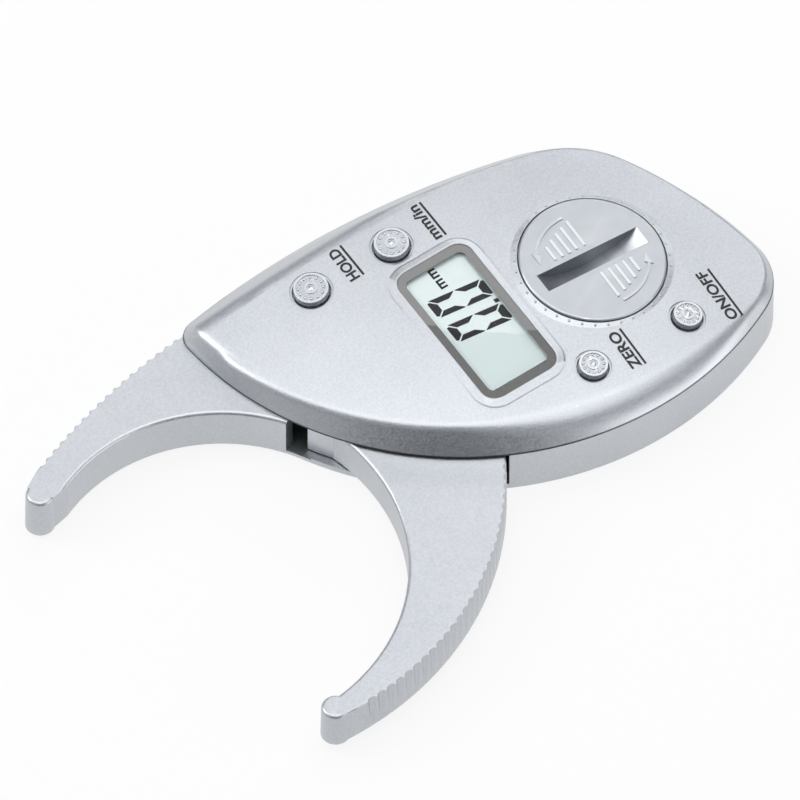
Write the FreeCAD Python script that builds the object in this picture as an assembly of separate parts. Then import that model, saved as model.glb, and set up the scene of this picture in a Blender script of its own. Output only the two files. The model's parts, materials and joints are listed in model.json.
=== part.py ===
import FreeCAD, Part
import math
import os

V = FreeCAD.Vector

# Plan positions are in mm about a point under the middle of the display:
# +X towards the jaws, +Y towards the thumb jaw, Z = 0 on the table.

# Case outline: three long arcs (centre, radius) joined by three corner arcs
THUMB_SIDE = (V(-18.35, -32.81, 0), 60.3)
FAR_SIDE = (V(8.63, 124.88, 0), 160.5)
BACK_END = (V(21.45, 17.08, 0), 75.0)
NOSE_R = 4.2
HEEL_R = 11.85
TAIL_R = 24.0
SHARPEST_R = 0.2

# Case shell
FLOOR = 1.6
WALL = 1.8
ROOF = 1.8
SEAM_Z = 10.2
SEAM_GAP = 0.12
BEVEL_TOP = 19.0
CREASE_R = 0.8
FOOT_R = 0.5
TONGUE_T = 0.8
TONGUE_H = 1.1
FIT = 0.1

# Rise of the roof's bevel per mm inwards: far side, thumb side, back end
BEVEL_RISES = (1.35, 1.53, 1.72)

# Crown of the roof: an arc across, swept along an arc lengthways
CREST = V(-7, -22, 18.5)
CROWN_R_LONG = 230.0
CROWN_R_CROSS = 350.0
CROWN_HALF_WIDTH = 75.0
CROWN_SWEEP = 17.0
ABOVE_ROOF = 24.0

# Where the crown rolls over towards the far side, and how tightly
ROLL_START = -27.6
ROLL_R = 4.5
ROLL_END = 48.0

# Jaws
JAW_TOP = 9.8
FIXED_JAW_BOTTOM = 0.8
THUMB_JAW_BOTTOM = 1.9
FIXED_INNER = (V(61.6, 12.0, 0), 31.1)
FIXED_OUTER = (V(26.38, 93.02, 0), 125.66)
THUMB_INNER = (V(65.95, 10.38, 0), 37.0)
THUMB_OUTER = (V(59.73, -7.9, 0), 59.07)
FIXED_TIP = V(80.0, -17.3, 0)
THUMB_TIP = V(62.2, 48.7, 0)
TIP_R = 2.5
TIP_DRAFT = 0.15
JAW_EDGE_R = 0.7
GRIP_EDGE_R = 0.3
JAW_SKIN = 1.7
JAW_ROOF = 1.9
RIB_T = 1.2

# Grip scallops on the outer edges, which get shallow downwards
SCALLOP_PITCH = 2.1
SCALLOP_R = 1.04
SCALLOP_FADE = 0.48
SCALLOP_STANDOFF = 0.52
FIXED_SCALLOPS = (-85.0, -66.5)
THUMB_SCALLOPS = (93.5, 148.5)

# Pivot: on the line that halves the jaw tips, this far behind their middle
PIVOT_REACH = 58.7
HUB_R = 11.0
HUB_TOP = 8.4
BEARING_R = 3.2
BEARING_Z = (6.05, 9.3)
PIN_R = 1.5
PIN_Z = (0.9, 12.6)
RUNNING = 0.05
WASHER_T = 0.3
FLOOR_BOSS_R = 3.0
FLOOR_BOSS_TOP = 5.7
ROOF_BOSS_R = 3.4
ROOF_BOSS_BOTTOM = 9.7
RECESS_R = 8.2
FINGER_R = 19.9
FINGER_ANGLES = (-13.6, 14.0)
FRONT_WALL_INSET = 1.5
JAW_WINDOW_ANGLES = (26.2, 64.3)

# Return spring
COIL_R = 4.6
WIRE_R = 0.35
COIL_PITCH = 0.9
COIL_TURNS = 3.25
COIL_BOTTOM = 2.1
SPRING_POST_R = 0.9
SPRING_POST_AT = 7.0
SPRING_POST_ANGLE = 192.0
SPRING_TURN = 252.0
HUB_LEG = 7.6
CASE_LEG = 5.6
HUB_NOTCH_R = 9.6
HUB_NOTCH_ANGLE = 14.0
SPRING_POST_TOP = 3.6

# Display, in its own frame on the crown, turned a little in plan
DISPLAY_AT = (-0.36, -0.93)
DISPLAY_TURN = 1.0
LENS = (15.3, 30.5)
LENS_CORNER = 3.0
LENS_Z = (-0.3, 0.0)
MASK_T = 0.05
MASK_OPENING = (12.35, 27.05)
MASK_CORNER = 1.3
APERTURE = (13.0, 27.9)
FRAME_OUTER = (18.4, 33.6)
FRAME_CORNER = 4.6
FRAME_FOOT = -0.2
FRAME_RISE = 0.2
FRAME_LIP = 0.25
FRAME_DEPTH = -3.6
LEDGE_BOTTOM = -0.7
LCD_SIZE = (14.2, 29.8)
LCD_TOP = -0.75
LCD_GLASS_T = 0.8
LCD_LEDGE = 2.0
CLEARANCE = 0.1

# Push buttons: name, plan position, cap radius, groove radius
BUTTONS = (
    ("hold", (19.62, -22.85), 3.2, 3.85),
    ("unit", (3.15, -22.36), 3.2, 3.85),
    ("zero", (-12.5, 17.35), 2.65, 3.3),
    ("power", (-32.6, 16.87), 2.65, 3.3),
)
CAP_RISE = 0.85
CAP_DRAFT = 0.12
CAP_RIM = 0.4
CAP_RELIEF = 0.14
CAP_DOTS = 12
CAP_DOT_R = 0.32
CAP_DOT_SINK = 0.12
CAP_DOT_RING = 0.69
NUB_R = (0.8, 1.15)
NUB_DOME = (0.9, 0.14)
GROOVE_DEPTH = 0.35
BUTTON_GAP = 0.28
FLANGE = (-2.4, -1.9)
FLANGE_LIP = 0.8
STEM_R = 1.0
STEM_ABOVE_DOME = 0.2
DOME_R = 1.7
DOME_H = 0.45
SWITCH_BASE = 4.0
SWITCH_BASE_T = 0.25

# Circuit board
BOARD_Z = (10.05, 10.85)
BOARD_INSET = 3.1
CHIP_AT = (1.0, -6.0)
CHIP_R = 4.0
CHIP_H = 1.1
SENSOR = (4.0, 3.2)
SENSOR_RADIUS = 8.2
SENSOR_BOTTOM = 9.0
CODE_R = (5.6, 10.6)
CODE_T = 0.3
RIBBON_W = 10.0
RIBBON_T = 0.15
RIBBON_ROOM = 2.6
RIBBON_LIFT = 0.17

# Battery bay: heights are upright at BAY, and the whole group then leans with the crown
BAY = V(-24.68, -0.98, 0)
COVER_R = 13.05
COVER_Z = (15.6, 17.5)
COVER_EDGE_R = 0.45
COVER_GAP = 0.2
NECK_R = (10.4, 11.6)
NECK_BOTTOM = 12.6
LUG_R = 12.9
LUG_Z = (13.1, 14.2)
LUG_ANGLE = 24.0
NOTCH_ANGLE = 32.0
COVER_TURN = 30.0
LUGS = (90.0, 210.0, 330.0)
SEAT_Z = (14.3, 15.3)
SEAT_R = 11.75
SEAL_R = (11.9, 12.9)
SLOT = (21.0, 3.8)
SLOT_DEPTH = 4.1
SLOT_HOUSING = (23.0, 6.0)
SLOT_HOUSING_BOTTOM = 12.25
CUP_R = 14.3
CUP_BOTTOM = 7.8
CUP_FLOOR = 8.5
LUG_ROOM_R = 13.05
LUG_ROOM_Z = 12.2
CELL_R = 10.0
CELL_Z = (8.8, 12.0)
POCKET_R = 10.2
COLLAR_R = (14.6, 13.3)
COLLAR_Z = (-0.45, -0.05)
DOT_RING_R = 13.7
DOT_COUNT = 37
DOT_R = 0.22
GRIP_RIB = 0.5
GRIP_RELIEF = 0.22
GRIP_RIBS = ((-0.4, 3.1, 8.9), (1.25, 3.1, 8.3), (2.75, 3.0, 7.7), (4.3, 3.0, 7.0), (5.8, 3.0, 6.1))
ARROW_R = 9.9
ARROW_SWEEP = (-91.0, -34.5)
ARROW_HEAD = ((9.1, -33.5), (10.7, -35.0), (9.4, -21.5))

# Battery contacts
CONTACT_T = 0.25
CONTACT_W = 3.0
CONTACT_PAD_R = 4.0
TAIL_LIFT = 0.75
CELL_LEAN = 0.65

# Screws: plan positions
CASE_SCREWS = ((33.0, -24.0), (-9.0, -27.0), (-43.0, -13.0), (-41.0, 17.0), (-3.0, 19.5))
CASE_SCREW_R = 1.0
CASE_HEAD_R = 1.9
CASE_HEAD_Z = (0.6, 2.1)
CASE_SCREW_TOP = 11.0
COUNTERBORE_R = 2.15
COUNTERBORE_TOP = 2.1
POST_R = 2.8
POST_TOP = 4.0
CASE_BOSS_R = 2.6
CASE_HOLE_TOP = 11.5
BOARD_SCREWS = ((30.0, -17.0), (-16.0, -21.0), (-46.0, 4.0))
BOARD_SCREW_R = 0.8
BOARD_HEAD_R = 1.5
BOARD_HEAD_H = 0.9
BOARD_SCREW_TOP = 13.4
STANDOFF_R = 2.0
DRIVE_R = 0.75
DRIVE_DEPTH = 0.6
DRIVE_SLOT = 0.4


# ---------------------------------------------------------------- helpers

def unit(vector):
    return vector / vector.Length


def polar(centre, radius, degrees):
    angle = math.radians(degrees)
    return centre + V(radius * math.cos(angle), radius * math.sin(angle), 0)


def disc(centre, radius, low, high):
    return Part.makeCylinder(radius, high - low, V(centre.x, centre.y, low))


def ring(centre, inner, outer, low, high):
    return disc(centre, outer, low, high).cut(disc(centre, inner, low - 1, high + 1))


def box(centre, size_x, size_y, low, high):
    corner = V(centre.x - size_x / 2, centre.y - size_y / 2, low)
    return Part.makeBox(size_x, size_y, high - low, corner)


def rounded_box(size, radius, low, high):
    block = box(V(0, 0, 0), size[0], size[1], low, high)
    upright = [e for e in block.Edges if abs(e.tangentAt(e.FirstParameter).z) > 0.9]
    return block.makeFillet(radius, upright)


def prism(points, low, high):
    corners = [V(p.x, p.y, low) for p in points]
    wire = Part.makePolygon(corners + corners[:1])
    return Part.Face(wire).extrude(V(0, 0, high - low))


def sector(centre, inner, outer, angles, low, high):
    reach = outer * 2
    middle = (angles[0] + angles[1]) / 2
    edge = [polar(centre, reach, a) for a in (angles[0], middle, angles[1])]
    return ring(centre, inner, outer, low, high).common(prism([centre] + edge, low, high))


def wedge(centre, outer, angles, low, high):
    reach = outer * 2
    middle = (angles[0] + angles[1]) / 2
    edge = [polar(centre, reach, a) for a in (angles[0], middle, angles[1])]
    return disc(centre, outer, low, high).common(prism([centre] + edge, low, high))


def joined(shapes):
    return shapes[0].fuse(shapes[1:]) if len(shapes) > 1 else shapes[0]


def placed(shape, placement):
    moved = shape.copy()
    moved.Placement = placement.multiply(moved.Placement)
    return moved


# ---------------------------------------------------------------- case outline and crown

def corner_centre(first, second, radius):
    """Centre of a corner arc that rolls inside two big arcs, on their left."""
    gap = second[0] - first[0]
    near = first[1] - radius
    far = second[1] - radius
    along = (near ** 2 - far ** 2 + gap.Length ** 2) / (2 * gap.Length)
    aside = math.sqrt(near ** 2 - along ** 2)
    way = unit(gap)
    return first[0] + way * along + V(-way.y, way.x, 0) * aside


def arc_edge(centre, start, end, height):
    radius = (start - centre).Length
    middle = centre + unit((start - centre) + (end - centre)) * radius
    lift = V(0, 0, height)
    return Part.Arc(start + lift, middle + lift, end + lift).toShape()


def case_outline(insets, height):
    """Closed wire of the case's outline, with each side moved inwards by its own inset."""
    arcs = (FAR_SIDE, THUMB_SIDE, BACK_END)
    sides = [(centre, radius - inset) for (centre, radius), inset in zip(arcs, insets)]
    corners = []
    for first, radius in enumerate((NOSE_R, HEEL_R, TAIL_R)):
        second = (first + 1) % 3
        corner_r = max(radius - (insets[first] + insets[second]) / 2, SHARPEST_R)
        centre = corner_centre(sides[first], sides[second], corner_r)
        touches = [c + unit(centre - c) * r for c, r in (sides[first], sides[second])]
        corners.append((centre, touches[0], touches[1]))
    edges = []
    for index, (centre, start, end) in enumerate(corners):
        edges.append(arc_edge(centre, start, end, height))
        side = sides[(index + 1) % 3]
        next_start = corners[(index + 1) % 3][1]
        edges.append(arc_edge(side[0], end, next_start, height))
    return Part.Wire(edges)


def slab(inset, low, high):
    return Part.Face(case_outline((inset, inset, inset), low)).extrude(V(0, 0, high - low))


def bevelled(inset, low, high):
    """The case's outline, leaning inwards with each side's own slope."""
    foot = case_outline((inset, inset, inset), low)
    top = case_outline([inset + (high - low) / rise for rise in BEVEL_RISES], high)
    return Part.makeLoft([foot, top], True, True)


def crown_profile(depth):
    """Cross-section under the crown: the long arc, then the roll towards the far side."""
    radius = CROWN_R_CROSS - depth
    roll_r = ROLL_R - depth
    centre = V(CREST.x, CREST.y, CREST.z - CROWN_R_CROSS)
    start = math.asin((ROLL_START - CREST.y) / CROWN_R_CROSS)
    end = math.asin(CROWN_HALF_WIDTH / radius)
    middle = (start + end) / 2
    long_arc = [centre + V(0, math.sin(a) * radius, math.cos(a) * radius) for a in (start, middle, end)]
    hub = centre + V(0, math.sin(start), math.cos(start)) * (CROWN_R_CROSS - ROLL_R)
    last = -math.radians(ROLL_END)
    turns = (start, (start + last) / 2, last)
    roll = [hub + V(0, math.sin(a) * roll_r, math.cos(a) * roll_r) for a in turns]
    skirt = roll[2] + V(0, -math.cos(last), math.sin(last)) * CROWN_HALF_WIDTH / 2
    feet = [V(p.x, p.y, -CROWN_HALF_WIDTH) for p in (long_arc[2], skirt)]
    sides = Part.makePolygon([long_arc[2], feet[0], feet[1], skirt, roll[2]]).Edges
    edges = [Part.Arc(*long_arc).toShape()] + sides + [Part.Arc(*roll).toShape()]
    return Part.Face(Part.Wire(edges))


def crown_solid(depth):
    """Everything under the roof's crown, or under its parallel surface at this depth."""
    profile = crown_profile(depth)
    axis_point = V(CREST.x, 0, CREST.z - CROWN_R_LONG)
    profile.rotate(axis_point, V(0, 1, 0), -CROWN_SWEEP)
    return profile.revolve(axis_point, V(0, 1, 0), 2 * CROWN_SWEEP)


def crown_point(x, y):
    reach = CROWN_R_LONG - CROWN_R_CROSS + math.sqrt(CROWN_R_CROSS ** 2 - (y - CREST.y) ** 2)
    height = CREST.z - CROWN_R_LONG + math.sqrt(reach ** 2 - (x - CREST.x) ** 2)
    return V(x, y, height)


def crown_frame(x, y):
    """Placement on the crown with +Z square to it."""
    point = crown_point(x, y)
    across = (y - CREST.y) / CROWN_R_CROSS
    along = math.atan2(x - CREST.x, point.z - CREST.z + CROWN_R_LONG)
    level = math.sqrt(1 - across ** 2)
    normal = V(math.sin(along) * level, across, math.cos(along) * level)
    return FreeCAD.Placement(point, FreeCAD.Rotation(V(0, 0, 1), normal))


def display_frame():
    """The display's own frame: on the crown, with its long side turned in plan."""
    turn = FreeCAD.Placement(V(0, 0, 0), FreeCAD.Rotation(V(0, 0, 1), DISPLAY_TURN))
    return crown_frame(*DISPLAY_AT).multiply(turn)


def leaning(shape):
    """Leans a shape of the battery group about the crown over BAY, to match the crown."""
    frame = crown_frame(BAY.x, BAY.y)
    return placed(shape, FreeCAD.Placement(V(0, 0, 0), frame.Rotation, frame.Base))


def pivot_point():
    middle = (FIXED_TIP + THUMB_TIP) / 2
    across = unit(THUMB_TIP - FIXED_TIP)
    return middle - V(across.y, -across.x, 0) * PIVOT_REACH


PIVOT = pivot_point()


# ---------------------------------------------------------------- jaws

def scallops(outer, angles, low):
    """Scoops along an outer edge, deepest at the top and shallow at the bottom."""
    centre, radius = outer
    step = math.degrees(SCALLOP_PITCH / radius)
    count = int((angles[1] - angles[0]) / step)
    scoops = []
    for index in range(count + 1):
        spot = polar(centre, radius + SCALLOP_STANDOFF, angles[0] + index * step)
        height = JAW_TOP - low
        scoop = Part.makeCone(SCALLOP_R - SCALLOP_FADE, SCALLOP_R, height, V(spot.x, spot.y, low))
        lid = disc(spot, SCALLOP_R, JAW_TOP, JAW_TOP + 1)
        scoops.append(scoop.fuse(lid))
    return scoops


def jaw_tip(centre, low):
    """Round contact pad at the end of a jaw, a little wider at its foot."""
    cone = Part.makeCone(TIP_R + TIP_DRAFT, TIP_R, JAW_TOP - low, V(centre.x, centre.y, low))
    rim = [e for e in cone.Edges if abs(e.BoundBox.ZMin - JAW_TOP) < 0.01]
    return cone.makeFillet(JAW_EDGE_R, rim)


def crescent(inner, outer, region, low, high, skin=0.0):
    """What lies inside the outer arc, outside the inner arc and over a region."""
    whole = disc(outer[0], outer[1] - skin, low, high).cut(disc(inner[0], inner[1] + skin, low, high))
    return whole.common(prism(region, low, high))


def soft_top(solid, inner):
    """Rounds the long top edges of a jaw, the inner one more than the outer one."""
    for wanted, radius in ((True, JAW_EDGE_R), (False, GRIP_EDGE_R)):
        top_edges = [e for e in solid.Edges if e.BoundBox.ZMin > JAW_TOP - 0.01]
        arcs = [e for e in top_edges if isinstance(e.Curve, Part.Circle) and e.Length > 20]
        edges = [e for e in arcs if (abs(e.Curve.Radius - inner[1]) < 1) == wanted]
        solid = solid.makeFillet(radius, edges)
    return solid


def rib_walls(inner, angles, step, low, high):
    """Radial ribs and one long rib that divide the hollow under a jaw."""
    centre, radius = inner
    ribs = []
    angle = angles[0]
    while angle < angles[1]:
        rib = Part.makeBox(radius * 2, RIB_T, high - low, V(0, -RIB_T / 2, low))
        rib.rotate(V(0, 0, 0), V(0, 0, 1), angle)
        rib.translate(centre)
        ribs.append(rib)
        angle += step
    spine = radius + 9.0
    ribs.append(ring(centre, spine - RIB_T / 2, spine + RIB_T / 2, low, high))
    return joined(ribs)


def fixed_jaw():
    low = FIXED_JAW_BOTTOM
    end = [polar(FIXED_OUTER[0], FIXED_OUTER[1] + 0.1, -66.6), polar(FIXED_TIP, TIP_R, -64.1), FIXED_TIP]
    end += [polar(FIXED_TIP, TIP_R, 122.1), polar(FIXED_INNER[0], FIXED_INNER[1] - 0.1, -65)]
    region = [V(31, -2, 0), V(31, -34, 0), V(60, -34, 0)] + end + [V(70, -10, 0), V(60, -2, 0)]
    blade = soft_top(crescent(FIXED_INNER, FIXED_OUTER, region, low, JAW_TOP), FIXED_INNER)
    blade = blade.cut(scallops(FIXED_OUTER, FIXED_SCALLOPS, low))
    core_region = [V(43, -8, 0), V(43, -34, 0), V(60, -34, 0), V(76.3, -24, 0), V(74.5, -14, 0), V(60, -8, 0)]
    high = JAW_TOP - JAW_ROOF
    core = crescent(FIXED_INNER, FIXED_OUTER, core_region, low - 1, high, JAW_SKIN)
    core = core.cut(rib_walls(FIXED_INNER, (-117, -60), 13.5, low - 1, high))
    return blade.cut(core).fuse(jaw_tip(FIXED_TIP, low))


def thumb_blade():
    low = THUMB_JAW_BOTTOM
    tip_edge = V(THUMB_TIP.x, THUMB_TIP.y + 6, 0)
    tip_foot = V(THUMB_TIP.x, THUMB_TIP.y - 3, 0)
    root = V(31.5, 0.2, 0)
    region = [V(0, 13.2, 0), PIVOT, root, V(60, 0.2, 0), tip_foot, tip_edge, V(0, 60, 0)]
    blade = soft_top(crescent(THUMB_INNER, THUMB_OUTER, region, low, JAW_TOP), THUMB_INNER)
    blade = blade.cut(scallops(THUMB_OUTER, THUMB_SCALLOPS, low))
    core_region = [V(0, 21.5, 0), V(60, 21.5, 0), V(57, 44, 0), V(57, 60, 0), V(0, 60, 0)]
    high = JAW_TOP - JAW_ROOF
    core = crescent(THUMB_INNER, THUMB_OUTER, core_region, low - 1, high, JAW_SKIN)
    core = core.cut(rib_walls(THUMB_INNER, (104, 170), 13.5, low - 1, high))
    return blade.cut(core).fuse(jaw_tip(THUMB_TIP, low))


def moving_jaw():
    low = THUMB_JAW_BOTTOM
    finger = wedge(PIVOT, FINGER_R, FINGER_ANGLES, low, JAW_TOP)
    front = disc(THUMB_SIDE[0], THUMB_SIDE[1] - FRONT_WALL_INSET, low, JAW_TOP)
    body = thumb_blade().fuse([finger.common(front), disc(PIVOT, HUB_R, low, HUB_TOP)])
    body = body.cut(disc(PIVOT, HUB_R + 0.3, HUB_TOP, JAW_TOP + 1))
    body = body.fuse(disc(PIVOT, BEARING_R, HUB_TOP - 1, BEARING_Z[1]))
    body = body.cut(disc(PIVOT, RECESS_R, low - 1, BEARING_Z[0]))
    leg_angle = SPRING_TURN + COIL_TURNS * 360 + math.degrees(math.atan2(HUB_LEG, COIL_R))
    notch_angles = (leg_angle - HUB_NOTCH_ANGLE / 2, leg_angle + HUB_NOTCH_ANGLE / 2)
    body = body.cut(wedge(PIVOT, HUB_NOTCH_R, notch_angles, low - 1, BEARING_Z[0]))
    body = body.cut(disc(PIVOT, PIN_R + RUNNING, low, JAW_TOP + 1))
    return body.removeSplitter()


# ---------------------------------------------------------------- case halves

def case_posts():
    posts = [disc(V(x, y, 0), POST_R, FLOOR / 2, POST_TOP) for x, y in CASE_SCREWS]
    posts.append(disc(PIVOT, FLOOR_BOSS_R, FLOOR / 2, FLOOR_BOSS_TOP))
    posts.append(disc(polar(PIVOT, SPRING_POST_AT, SPRING_POST_ANGLE), SPRING_POST_R, FLOOR / 2, SPRING_POST_TOP))
    return posts


def lower_case():
    tub = slab(0, 0, SEAM_Z - SEAM_GAP)
    foot = [e for e in tub.Edges if e.BoundBox.ZMax < 0.01]
    tub = tub.makeFillet(FOOT_R, foot)
    jaw = fixed_jaw().cut(slab(WALL / 2, -1, ABOVE_ROOF))
    body = tub.fuse(jaw).cut(slab(WALL, FLOOR, ABOVE_ROOF))
    centre, radius = THUMB_SIDE
    window = sector(centre, radius - 6, radius + 6, JAW_WINDOW_ANGLES, FLOOR, SEAM_Z + 1)
    body = body.cut(window).fuse(case_posts())
    bores = [disc(PIVOT, PIN_R, PIN_Z[0], FLOOR_BOSS_TOP + 1)]
    for x, y in CASE_SCREWS:
        spot = V(x, y, 0)
        bores.append(disc(spot, COUNTERBORE_R, -1, COUNTERBORE_TOP))
        bores.append(disc(spot, CASE_SCREW_R + 0.25, -1, POST_TOP + 1))
    return body.cut(bores).removeSplitter()


def roof_shell():
    outer = bevelled(0, SEAM_Z, BEVEL_TOP).common(crown_solid(0))
    crease = [e for e in outer.Edges if e.BoundBox.ZMin > SEAM_Z + 2 and e.BoundBox.ZLength < 6]
    outer = outer.makeFillet(CREASE_R, crease)
    inner = bevelled(WALL, SEAM_Z, BEVEL_TOP).common(crown_solid(ROOF))
    return outer.cut(inner)


def boss_space():
    """Room for bosses: inside the lower wall, and half way into the roof."""
    upper = bevelled(WALL / 2, SEAM_Z, BEVEL_TOP).common(crown_solid(ROOF / 2))
    return upper.fuse(slab(WALL + FIT, 0, SEAM_Z))


def roof_bosses():
    bosses = [disc(V(x, y, 0), CASE_BOSS_R, POST_TOP + 0.05, ABOVE_ROOF) for x, y in CASE_SCREWS]
    bosses += [disc(V(x, y, 0), STANDOFF_R, BOARD_Z[1], ABOVE_ROOF) for x, y in BOARD_SCREWS]
    bosses.append(disc(PIVOT, ROOF_BOSS_R, ROOF_BOSS_BOTTOM, ABOVE_ROOF))
    bosses.append(leaning(disc(BAY, CUP_R, CUP_BOTTOM, ABOVE_ROOF)))
    space = boss_space()
    return [boss.common(space) for boss in bosses]


def roof_holes():
    holes = [disc(V(x, y, 0), CASE_SCREW_R, 0, CASE_HOLE_TOP) for x, y in CASE_SCREWS]
    holes += [disc(V(x, y, 0), BOARD_SCREW_R, 0, BOARD_SCREW_TOP + 0.3) for x, y in BOARD_SCREWS]
    holes.append(disc(PIVOT, PIN_R, 0, PIN_Z[1] + 0.1))
    return holes


def tongue():
    """Locating rib that reaches down inside the lower wall, away from the jaw."""
    low = SEAM_Z - TONGUE_H
    rib = slab(WALL + FIT, low, SEAM_Z + 1).cut(slab(WALL + FIT + TONGUE_T, low, SEAM_Z + 1))
    return rib.cut(disc(PIVOT, FINGER_R + 7, low - 1, SEAM_Z + 2))


def display_block():
    """Pad round the display, whose top slopes up to the lens from every side."""
    lip = (LENS[0] + 2 * FRAME_LIP, LENS[1] + 2 * FRAME_LIP)
    base = rounded_box(FRAME_OUTER, FRAME_CORNER, FRAME_DEPTH, FRAME_FOOT)
    foot = rounded_box(FRAME_OUTER, FRAME_CORNER, FRAME_FOOT - 1, FRAME_FOOT).Faces
    top = rounded_box(lip, LENS_CORNER + FRAME_LIP, FRAME_RISE, FRAME_RISE + 1).Faces
    wires = [level_face(foot, FRAME_FOOT).OuterWire, level_face(top, FRAME_RISE).OuterWire]
    return base.fuse(Part.makeLoft(wires, True, True))


def level_face(faces, height):
    return [f for f in faces if abs(f.BoundBox.ZMin - height) + f.BoundBox.ZLength < 0.01][0]


def display_pockets():
    lens = (LENS[0] + CLEARANCE, LENS[1] + CLEARANCE)
    lcd = (LCD_SIZE[0] + 2 * CLEARANCE, LCD_SIZE[1] + 2 * CLEARANCE)
    return [
        rounded_box(lens, LENS_CORNER, LENS_Z[0], 5),
        rounded_box(APERTURE, MASK_CORNER, LEDGE_BOTTOM - 1, 0),
        box(V(0, 0, 0), lcd[0], lcd[1], FRAME_DEPTH - 1, LEDGE_BOTTOM),
        box(V(0, lcd[1] / 2, 0), RIBBON_W + 1, RIBBON_ROOM, FRAME_DEPTH - 1, LEDGE_BOTTOM),
    ]


def button_wells():
    wells = []
    for _, (x, y), cap, groove in BUTTONS:
        frame = crown_frame(x, y)
        middle = V(0, 0, 0)
        wells.append(placed(disc(middle, cap + BUTTON_GAP, -6, 4), frame))
        wells.append(placed(disc(middle, groove, -GROOVE_DEPTH, 4), frame))
    return wells


def bay_hollows():
    """Cover bore, bayonet seat with notches, lug room and cell pocket."""
    shut = [(angle + COVER_TURN) for angle in LUGS]
    half = NOTCH_ANGLE / 2
    hollows = [
        disc(BAY, COVER_R + COVER_GAP, SEAT_Z[1], ABOVE_ROOF),
        disc(BAY, SEAT_R, SEAT_Z[0] - 1, ABOVE_ROOF),
        disc(BAY, LUG_ROOM_R, LUG_ROOM_Z, SEAT_Z[0]),
        disc(BAY, POCKET_R, CUP_FLOOR, SEAT_Z[0]),
    ]
    for angle in shut:
        hollows.append(wedge(BAY, LUG_ROOM_R, (angle - half, angle + half), LUG_ROOM_Z, ABOVE_ROOF))
    return [leaning(hollow) for hollow in hollows]


def bay_collar():
    """Low sloping ring round the cover, with a circle of raised dots."""
    base = crown_point(BAY.x, BAY.y).z
    low, high = COLLAR_Z
    height = high - low
    collar = Part.makeCone(COLLAR_R[0], COLLAR_R[1], height, V(BAY.x, BAY.y, base + low))
    down = (COLLAR_R[0] - DOT_RING_R) / (COLLAR_R[0] - COLLAR_R[1])
    spots = [polar(BAY, DOT_RING_R, index * 360.0 / DOT_COUNT) for index in range(DOT_COUNT)]
    dots = [Part.makeSphere(DOT_R, spot + V(0, 0, base + low + height * down)) for spot in spots]
    return leaning(collar.fuse(dots))


def contact_slits():
    """Slits in the cup's wall for the two contact strips."""
    width = CONTACT_W + 0.4
    negative = V(BAY.x, BAY.y + CUP_R, 0)
    positive = V(BAY.x, BAY.y - CUP_R, 0)
    return [
        leaning(box(negative, width, 12, CUP_FLOOR, CUP_FLOOR + 0.6)),
        box(positive, width, 12, BOARD_Z[1], BOARD_Z[1] + 0.6),
        box(V(BAY.x, BAY.y - POCKET_R, 0), width, 2.0, CUP_FLOOR, LUG_ROOM_Z),
    ]


def upper_case():
    body = roof_shell().fuse(roof_bosses() + [tongue(), bay_collar()])
    frame = display_frame()
    body = body.fuse(placed(display_block(), frame))
    body = body.cut([placed(pocket, frame) for pocket in display_pockets()])
    body = body.cut(button_wells() + roof_holes())
    return body.cut(bay_hollows() + contact_slits())


# ---------------------------------------------------------------- pivot group

def pivot_pin():
    pin = disc(PIVOT, PIN_R, PIN_Z[0], PIN_Z[1])
    ends = [e for e in pin.Edges if e.BoundBox.ZLength < 0.01]
    return pin.makeChamfer(0.25, ends)


def thrust_washers():
    inner = PIN_R + RUNNING
    lower = ring(PIVOT, inner, BEARING_R, FLOOR_BOSS_TOP, FLOOR_BOSS_TOP + WASHER_T)
    upper = ring(PIVOT, inner, BEARING_R, BEARING_Z[1] + RUNNING, BEARING_Z[1] + RUNNING + WASHER_T)
    return Part.makeCompound([lower, upper])


def return_spring():
    """Coil round the floor boss, with a leg back to the post and a leg on to the hub."""
    height = COIL_PITCH * COIL_TURNS
    coil = Part.makeHelix(COIL_PITCH, height, COIL_R)
    climb = math.atan2(COIL_PITCH, 2 * math.pi * COIL_R)
    end_angle = COIL_TURNS * 360.0
    start = V(COIL_R, 0, 0)
    end = polar(V(0, 0, height), COIL_R, end_angle)
    ways = [polar(V(0, 0, math.sin(climb)), math.cos(climb), angle + 90) for angle in (0.0, end_angle)]
    foot = start - ways[0] * CASE_LEG
    case_leg = Part.makeLine(foot, start)
    hub_leg = Part.makeLine(end, end + ways[1] * HUB_LEG)
    path = Part.Wire([case_leg] + coil.Edges + [hub_leg])
    section = Part.Wire(Part.makeCircle(WIRE_R, foot, ways[0]))
    spring = path.makePipeShell([section], True, False)
    spring.rotate(V(0, 0, 0), V(0, 0, 1), SPRING_TURN)
    spring.translate(V(PIVOT.x, PIVOT.y, COIL_BOTTOM + WIRE_R))
    return spring


def code_disc():
    return ring(PIVOT, CODE_R[0], CODE_R[1], HUB_TOP, HUB_TOP + CODE_T)


# ---------------------------------------------------------------- display

def display_window():
    return placed(rounded_box(LENS, LENS_CORNER, LENS_Z[0], LENS_Z[1]), display_frame())


def display_mask():
    """Grey border on the face of the window."""
    low = LENS_Z[1]
    frame = rounded_box(LENS, LENS_CORNER, low, low + MASK_T)
    opening = rounded_box(MASK_OPENING, MASK_CORNER, low - 1, low + 1)
    return placed(frame.cut(opening), display_frame())


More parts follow.
